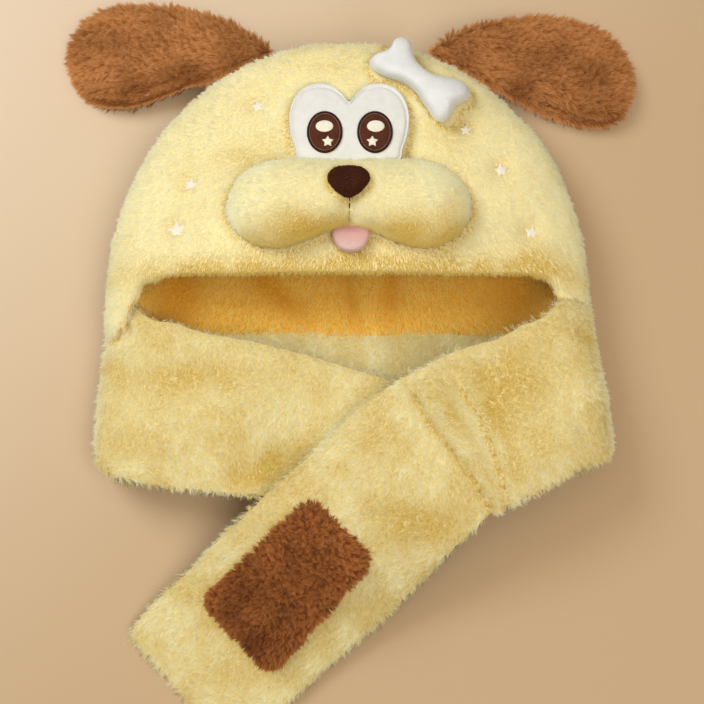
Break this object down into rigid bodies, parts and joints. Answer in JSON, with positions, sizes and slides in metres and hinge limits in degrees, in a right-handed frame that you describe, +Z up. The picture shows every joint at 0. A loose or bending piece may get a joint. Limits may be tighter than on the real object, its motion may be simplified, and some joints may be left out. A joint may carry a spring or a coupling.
{
  "type": "plush puppy hood with attached scarf",
  "caption": "Padded plush hood with a puppy face, floppy ears and an attached wraparound scarf, lying on its back.",
  "frame": {"origin": "on the flat back of the hood where it lies, under the puppy's nose", "axes": "+Z up out of the puppy's face, +Y towards the crown, +X to the right as the face is seen"},
  "size_m": [0.3656, 0.4712, 0.0966],
  "materials": {
    "plush_yellow": "deep soft faux fur, pale butter yellow",
    "plush_brown": "deep soft faux fur, warm brown",
    "felt_white": "smooth padded felt, off-white",
    "satin_brown": "short pile, dark brown, with a stitched rim",
    "thread_white": "satin stitch embroidery, white",
    "velvet_brown": "short velvet, dark brown",
    "velvet_pink": "short velvet, pink",
    "velvet_white": "smooth short velvet, white, padded"
  },
  "bodies": {
    "root": {"hood": "plush_yellow", "scarf": "plush_yellow", "muzzle": "plush_yellow", "left_ear": "plush_brown", "right_ear": "plush_brown", "tail_patch": "plush_brown", "eye_patch": "felt_white", "left_pupil": "satin_brown", "right_pupil": "satin_brown", "left_glint": "thread_white", "right_glint": "thread_white", "left_pupil_star": "thread_white", "right_pupil_star": "thread_white", "nose": "velvet_brown", "tongue": "velvet_pink", "bone_clip": "velvet_white", "star_crown": "thread_white", "star_left_upper": "thread_white", "star_left_lower": "thread_white", "star_right_crown": "thread_white", "star_right_upper": "thread_white", "star_right_lower": "thread_white"}
  },
  "joints": []
}
